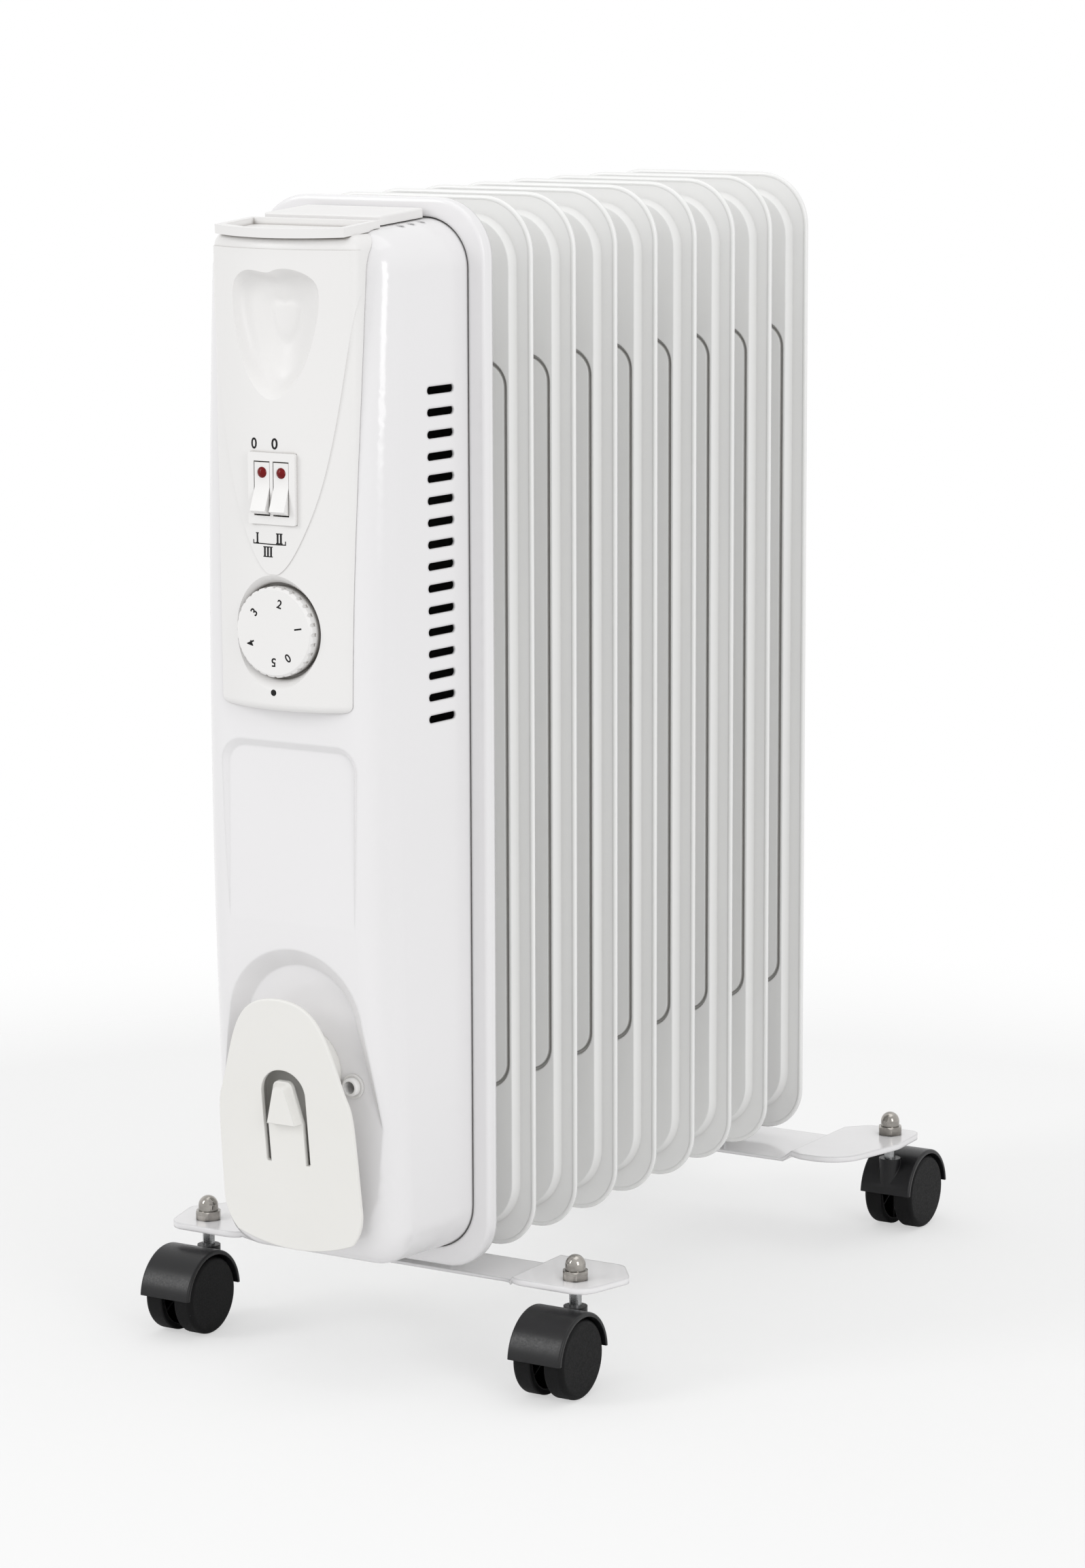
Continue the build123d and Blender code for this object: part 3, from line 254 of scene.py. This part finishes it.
# zinc plated wire and turned parts: cool grey and dull
zincPlate = surfaced("zincPlate", {
    "tone": ("#9A9B9C", "#ACADAE"), "driftMm": 8, "peelMm": 0.8, "peelStrength": 0.06, "peelDepthMm": 0.04,
    "rough": (0.22, 0.34), "metallic": 1.0, "edgeMm": 0.3,
})
# acrylic dyed red: deep colour, wet gloss
dyedAcrylic = surfaced("dyedAcrylic", {
    "tone": ("#640204", "#780507"), "driftMm": 3, "peelMm": 2, "peelStrength": 0.01, "peelDepthMm": 0.03,
    "rough": (0.10, 0.14), "ior": 1.3, "edgeMm": 0.15,
})
# pad printing ink: black with a faint break-up where the film is thin
padInk = surfaced("padInk", {
    "tone": ("#0B0B0C", "#161617"), "driftMm": 2, "peelMm": 0.8, "peelStrength": 0.05, "peelDepthMm": 0.02,
    "rough": (0.45, 0.6), "edgeMm": 0.05, "ior": 1.3,
})
print("materials made")

# the record's slots, then the nodes with a finish of their own
finish = {
    "fin_enamel": stoveEnamelFins, "cover_enamel": stoveEnamelCover, "white_plastic": mouldedAbs,
    "satin_plastic": mouldedPolypropylene, "dark_plastic": mouldedPhenolic, "black_plastic": mouldedNylon,
    "red_lens": dyedAcrylic, "plated_steel": zincPlate, "bright_nickel": nickelPlate,
    "element_sheath": zincPlate,
}
ownFinish = {
    "fin_1": primedFin, "front_cover": stoveEnamelShell, "switch_bezel": etchedAbs,
    "rocker_left": etchedAbs, "rocker_right": etchedAbs, "knob": etchedAbs, "cord_gland": etchedAbs,
} | {name: scuffedNylon for name in nodes if name.startswith("wheel_")}

smoothing = {"sharpDegrees": 27, "mergeMm": 0.004}


def smoothGroup(spec):
    # merges the loose triangles, shades them smooth and keeps edges sharper than the angle
    group = bpy.data.node_groups.new("smoothShading", "GeometryNodeTree")
    group.interface.new_socket("Geometry", in_out="INPUT", socket_type="NodeSocketGeometry")
    group.interface.new_socket("Geometry", in_out="OUTPUT", socket_type="NodeSocketGeometry")
    source = addNode(group, "NodeGroupInput")
    merged = addNode(group, "GeometryNodeMergeByDistance", None, {
        "Geometry": source.outputs["Geometry"], "Distance": spec["mergeMm"] * mm,
    })
    smooth = addNode(group, "GeometryNodeSetShadeSmooth", {"domain": "FACE"}, {
        "Geometry": merged.outputs["Geometry"], "Shade Smooth": True,
    })
    bend = addNode(group, "GeometryNodeInputMeshEdgeAngle")
    steep = addNode(group, "FunctionNodeCompare", {"data_type": "FLOAT", "operation": "GREATER_THAN"}, {
        "A": bend.outputs["Unsigned Angle"], "B": math.radians(spec["sharpDegrees"]),
    })
    crisp = addNode(group, "GeometryNodeSetShadeSmooth", {"domain": "EDGE"}, {
        "Geometry": smooth.outputs["Geometry"], "Selection": steep.outputs["Result"], "Shade Smooth": False,
    })
    addNode(group, "NodeGroupOutput", None, {"Geometry": crisp.outputs["Geometry"]})
    return group


smoothShading = smoothGroup(smoothing)
slotOf = {part["node"]: part["material_slot"] for part in frame["record"]["subparts"]}
for name, node in nodes.items():
    shade = node.modifiers.new("smoothShading", "NODES")
    shade.node_group = smoothShading
    weigh = node.modifiers.new("flatFaces", "WEIGHTED_NORMAL")
    weigh.mode = "FACE_AREA"
    weigh.keep_sharp = True
    node.data.materials.clear()
    node.data.materials.append(ownFinish.get(name, finish[slotOf[name]]))
print("nodes dressed")


def atSeam(x, y, z):
    # millimetres from the first fin's seam and foot, as metres in the shared frame
    return np.stack(np.broadcast_arrays(x * mm, seamY + y * mm, footZ + z * mm), axis=-1)


def gridMesh(name, points, closeU=False, closeV=False):
    # a grid of points, rows along u and columns along v, joined into quads
    rows, columns = points.shape[:2]
    index = np.arange(rows * columns).reshape(rows, columns)
    if closeU:
        index = np.vstack([index, index[:1]])
    if closeV:
        index = np.hstack([index, index[:, :1]])
    corners = [index[:-1, :-1], index[:-1, 1:], index[1:, 1:], index[1:, :-1]]
    quads = np.stack(corners, axis=-1).reshape(-1, 4)
    mesh = bpy.data.meshes.new(name)
    mesh.from_pydata(points.reshape(-1, 3).tolist(), [], quads.tolist())
    mesh.polygons.foreach_set("use_smooth", np.ones(len(quads), dtype=bool))
    mesh.update()
    return mesh


def addPiece(name, mesh, material, body):
    # a finished mesh as an object that rides on its body
    mesh.materials.clear()
    mesh.materials.append(material)
    piece = bpy.data.objects.new(name, mesh)
    scene.collection.objects.link(piece)
    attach(piece, body)


# millimetres; the inset is from the fin's edge to the bead's middle
hem = {"radius": 1.45, "inset": 0.9, "topRadius": 30.5, "lowRadius": 26.0, "across": 12, "cornerSteps": 15}


def finPath(half, low, high, topRadius, lowRadius):
    # rounded rectangle: straight sides joined by quarter circles, walked once round
    arc = np.linspace(0, np.pi / 2, hem["cornerSteps"])
    corners = [
        # middle x, middle z, radius, start in half turns
        (half - topRadius, high - topRadius, topRadius, 0.0),
        (topRadius - half, high - topRadius, topRadius, 0.5),
        (lowRadius - half, low + lowRadius, lowRadius, 1.0),
        (half - lowRadius, low + lowRadius, lowRadius, 1.5),
    ]
    x = np.concatenate([cx + r * np.cos(arc + np.pi * turn) for cx, cz, r, turn in corners])
    z = np.concatenate([cz + r * np.sin(arc + np.pi * turn) for cx, cz, r, turn in corners])
    facing = np.concatenate([arc + np.pi * turn for cx, cz, r, turn in corners])
    return x, z, facing


def rolledHem(name):
    # round bead along the fin's outline: circle of the bead's radius, swept round the rounded rectangle
    low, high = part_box(name)
    seam = ((low.y + high.y) / 2 - seamY) / mm
    x, z, facing = finPath(
        high.x / mm - hem["inset"], hem["inset"], (high.z - low.z) / mm - hem["inset"],
        hem["topRadius"] - hem["inset"], hem["lowRadius"] - hem["inset"],
    )
    turn = np.linspace(0, 2 * np.pi, hem["across"], endpoint=False)
    out = hem["radius"] * np.cos(turn)
    along = hem["radius"] * np.sin(turn)
    points = atSeam(
        x[:, None] + np.cos(facing)[:, None] * out,
        seam + along,
        z[:, None] + np.sin(facing)[:, None] * out,
    )
    mesh = gridMesh(name + "Hem", points, closeU=True, closeV=True)
    addPiece(name + "Hem", mesh, stoveEnamelFins, "heater")


for name in sorted(nodes):
    if name.startswith("fin_") and name != "fin_1":
        rolledHem(name)
print("fin hems made")

# the control box's front, as it is in the solids, and the film of ink on it
panel = {
    "lowZ": 316.0, "highZ": 566.0, "lowFront": 99.0, "highFront": 97.0,
    "lowHalf": 43.5, "highHalf": 46.5, "bow": 12.5, "shield": 0.5, "film": 0.08,
}


def panelFront(x, z):
    # bowed panel: the middle leans back with height, and the sides fall away on an arc
    share = (z - panel["lowZ"]) / (panel["highZ"] - panel["lowZ"])
    front = panel["lowFront"] + share * (panel["highFront"] - panel["lowFront"])
    half = panel["lowHalf"] + share * (panel["highHalf"] - panel["lowHalf"])
    radius = (half**2 + panel["bow"]**2) / (2 * panel["bow"])
    return -front + radius - np.sqrt(radius**2 - x**2)


def shieldFront(x, z):
    # ink on the raised shield: the panel's front, moved out by the shield and the film
    return panelFront(x, z) - panel["shield"] - panel["film"]


glyphSteps = 4      # points on each curve of a letter


def flatGlyph(text, size, weight):
    # outline letters as a flat mesh in mm, centred, x to the right and y up, strokes thickened by the weight
    curve = bpy.data.curves.new("glyph", "FONT")
    curve.body = text
    curve.size = size
    curve.offset = weight
    curve.align_x = "CENTER"
    curve.align_y = "CENTER"
    curve.resolution_u = glyphSteps
    holder = bpy.data.objects.new("glyph", curve)
    scene.collection.objects.link(holder)
    bpy.context.view_layer.update()
    graph = bpy.context.evaluated_depsgraph_get()
    mesh = bpy.data.meshes.new_from_object(holder.evaluated_get(graph))
    points = np.zeros(len(mesh.vertices) * 3)
    mesh.vertices.foreach_get("co", points)
    bpy.data.objects.remove(holder)
    flat = points.reshape(-1, 3)[:, :2]
    return mesh, flat - (flat.min(0) + flat.max(0)) / 2


def printedMesh(mesh, x, y, z):
    # a flat letter laid on a surface: each point goes to its own x and z, at the surface's depth y
    mesh.vertices.foreach_set("co", atSeam(x, y, z).ravel())
    mesh.update()
    return mesh


offMark = {
    "text": "0", "height": 8.0, "weight": 0.16,
    "places": {"offLeft": (-12.0, 456.9), "offRight": (1.5, 457.2)},        # x and z
}
for name, (x, z) in offMark["places"].items():
    mesh, flat = flatGlyph(offMark["text"], offMark["height"], offMark["weight"])
    acrossX = x + flat[:, 0]
    upZ = z + flat[:, 1]
    inked = printedMesh(mesh, acrossX, shieldFront(acrossX, upZ), upZ)
    addPiece(name, inked, padInk, "heater")

# each stem has a bar at its head and foot
roman = {
    "height": 5.6, "stem": 1.1, "pitch": 2.0, "serif": 0.5, "overhang": 0.45,
    "places": {"stepOne": (1, -10.2, 407.4), "stepTwo": (2, 4.0, 407.6), "stepThree": (3, -3.2, 400.4)},
}
bracket = {"left": -13.1, "right": 8.0, "z": 404.2, "rise": 2.2, "line": 0.55}
barGrid = {"columns": 9, "rows": 3}


def printedBar(name, x0, x1, z0, z1):
    # rectangle laid on the bowed panel: x and z on an even grid, depth from the panel
    x = np.linspace(x0, x1, barGrid["columns"])[None, :]
    z = np.linspace(z0, z1, barGrid["rows"])[:, None]
    mesh = gridMesh(name, atSeam(x, shieldFront(x, z), z))
    addPiece(name, mesh, padInk, "heater")


for name, (stems, x, z) in roman["places"].items():
    half = roman["height"] / 2
    width = (stems - 1) * roman["pitch"] + roman["stem"]
    for k in range(stems):
        left = x - width / 2 + k * roman["pitch"]
        printedBar(f"{name}Stem{k}", left, left + roman["stem"], z - half, z + half)
    reach = width / 2 + roman["overhang"]
    for end, level in (("Head", z + half - roman["serif"]), ("Foot", z - half)):
        printedBar(name + end, x - reach, x + reach, level, level + roman["serif"])
printedBar("bracketBase", bracket["left"], bracket["right"], bracket["z"], bracket["z"] + bracket["line"])
for name, edge in (("bracketLeft", bracket["left"]), ("bracketRight", bracket["right"] - bracket["line"])):
    printedBar(name, edge, edge + bracket["line"], bracket["z"], bracket["z"] + bracket["rise"])

# six numbers spread evenly over the knob's travel, the last one at the panel's dot
dial = {"z": 358.0, "radius": 15.8, "height": 6.4, "weight": 0.12, "film": 0.06, "first": -55.0, "step": 65.0}
knobFace = (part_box("knob")[0].y - seamY) / mm
for digit in "012345":
    angle = math.radians(dial["first"] + int(digit) * dial["step"])
    mesh, flat = flatGlyph(digit, dial["height"], dial["weight"])
    lean = angle - math.pi / 2      # each number's foot points to the knob's middle
    turned = flat @ np.array([[math.cos(lean), math.sin(lean)], [-math.sin(lean), math.cos(lean)]])
    x = turned[:, 0] + dial["radius"] * math.cos(angle)
    z = turned[:, 1] + dial["radius"] * math.sin(angle) + dial["z"]
    inked = printedMesh(mesh, x, knobFace - dial["film"], z)
    addPiece("dial" + digit, inked, padInk, "thermostat_dial")

# disc: radius times the cosine and sine of the turn, laid on the panel below the shield
pointer = {"x": -0.7, "z": 326.0, "radius": 1.7, "around": 32, "rings": 4, "inner": 0.02}
turns = np.linspace(2 * np.pi, 0, pointer["around"], endpoint=False)
radii = pointer["radius"] * np.linspace(pointer["inner"], 1.0, pointer["rings"])[:, None]
dotX = pointer["x"] + radii * np.cos(turns)
dotZ = pointer["z"] + radii * np.sin(turns)
disc = atSeam(dotX, panelFront(dotX, dotZ) - panel["film"], dotZ)
addPiece("pointerDot", gridMesh("pointerDot", disc, closeV=True), padInk, "heater")
print("printed marks made")

# metres and watts
studio = {
    "floorSize": 4.0, "fadeFrom": 0.32, "fadeTo": 1.0, "floorTone": "#EFEFEF", "floorLift": 0.5,
    "worldTone": "#FFFFFF", "worldLevel": 0.76,
    "lamps": {
        # name: (place, aim height, width, height, watts)
        "keyLeft": ((-1.9, -2.6, 1.9), 0.35, 0.9, 1.8, 28.0),
        "fillRight": ((2.8, -1.6, 1.3), 0.35, 1.0, 2.0, 24.0),
        "topSoft": ((0.2, 0.0, 2.8), 0.3, 2.0, 2.0, 9.0),
    },
}


def stageFloor(spec):
    # paper floor that fades into the white surround with distance, and is lightened by it to the eye
    half = spec["floorSize"] / 2
    mesh = bpy.data.meshes.new("floor")
    corners = [(-half, -half, 0), (half, -half, 0), (half, half, 0), (-half, half, 0)]
    mesh.from_pydata(corners, [], [(0, 1, 2, 3)])
    floor = bpy.data.objects.new("floor", mesh)
    scene.collection.objects.link(floor)
    material, tree = newMaterial("paperFloor")
    place = addNode(tree, "ShaderNodeTexCoord").outputs["Object"]
    reach = addNode(tree, "ShaderNodeVectorMath", {"operation": "LENGTH"}, {0: place})
    fade = addNode(tree, "ShaderNodeMapRange", {"interpolation_type": "SMOOTHSTEP"}, {
        "Value": reach.outputs["Value"], "From Min": spec["fadeFrom"], "From Max": spec["fadeTo"],
    })
    path = addNode(tree, "ShaderNodeLightPath")
    lift = addNode(tree, "ShaderNodeMath", {"operation": "MULTIPLY"}, {
        0: path.outputs["Is Camera Ray"], 1: spec["floorLift"],
    })
    share = addNode(tree, "ShaderNodeMath", {"operation": "MAXIMUM"}, {
        0: fade.outputs["Result"], 1: lift.outputs["Value"],
    })
    paper = addNode(tree, "ShaderNodeBsdfDiffuse", None, {"Color": linear(spec["floorTone"])})
    clear = addNode(tree, "ShaderNodeBsdfTransparent")
    mixed = addNode(tree, "ShaderNodeMixShader", None, {
        0: share.outputs["Value"], 1: paper.outputs["BSDF"], 2: clear.outputs["BSDF"],
    })
    addNode(tree, "ShaderNodeOutputMaterial", None, {"Surface": mixed.outputs["Shader"]})
    mesh.materials.append(material)


def stageWorld(spec):
    # white to the eye and in reflections, softer as a light
    world = bpy.data.worlds.new("studioWorld")
    world.use_nodes = True
    tree = world.node_tree
    tree.nodes.clear()
    path = addNode(tree, "ShaderNodeLightPath")
    seen = addNode(tree, "ShaderNodeMath", {"operation": "MAXIMUM"}, {
        0: path.outputs["Is Camera Ray"], 1: path.outputs["Is Glossy Ray"],
    })
    seenToo = addNode(tree, "ShaderNodeMath", {"operation": "MAXIMUM"}, {
        0: seen.outputs["Value"], 1: path.outputs["Is Transmission Ray"],
    })
    level = addNode(tree, "ShaderNodeMapRange", None, {
        "Value": seenToo.outputs["Value"], "To Min": spec["worldLevel"], "To Max": 1.0,
    })
    back = addNode(tree, "ShaderNodeBackground", None, {
        "Color": linear(spec["worldTone"]), "Strength": level.outputs["Result"],
    })
    addNode(tree, "ShaderNodeOutputWorld", None, {"Surface": back.outputs["Background"]})
    scene.world = world


def stageLamps(spec):
    # soft boxes, each turned to a point above the origin
    for name, (place, aim, width, height, watts) in spec["lamps"].items():
        lamp = bpy.data.lights.new(name, "AREA")
        lamp.shape = "RECTANGLE"
        lamp.size = width
        lamp.size_y = height
        lamp.energy = watts
        holder = bpy.data.objects.new(name, lamp)
        holder.location = place
        towards = Vector((0, 0, aim)) - Vector(place)
        holder.rotation_euler = towards.to_track_quat("-Z", "Y").to_euler()
        scene.collection.objects.link(holder)


stageFloor(studio)
stageWorld(studio)
stageLamps(studio)
scene.view_settings.view_transform = "Standard"
print("stage set")

# degrees, and millimetres for the lens
viewSpec = {
    "azimuth": 31.37, "elevation": 9.95, "roll": -0.172, "lens": 108.46, "sensor": 36.0,
    "fromSeam": (1.3970, -2.1202, 0.7073),      # metres from the first fin's seam and foot
}


def setCamera(spec):
    # looks along the azimuth and down by the elevation, then rolls about that line
    turn = math.radians(spec["azimuth"])
    rise = math.radians(spec["elevation"])
    roll = math.radians(spec["roll"])
    ahead = Vector((-math.sin(turn) * math.cos(rise), math.cos(turn) * math.cos(rise), -math.sin(rise)))
    right = Vector((math.cos(turn), math.sin(turn), 0))
    up = right.cross(ahead)
    sideways = right * math.cos(roll) + up * math.sin(roll)
    upright = up * math.cos(roll) - right * math.sin(roll)
    data = bpy.data.cameras.new("photoCamera")
    data.lens = spec["lens"]
    data.sensor_width = spec["sensor"]
    camera = bpy.data.objects.new("photoCamera", data)
    x, y, z = spec["fromSeam"]
    columns = Matrix((sideways, upright, -ahead)).transposed().to_4x4()
    camera.matrix_world = Matrix.Translation((x, seamY + y, footZ + z)) @ columns
    scene.collection.objects.link(camera)
    scene.camera = camera


setCamera(viewSpec)
print("camera set")
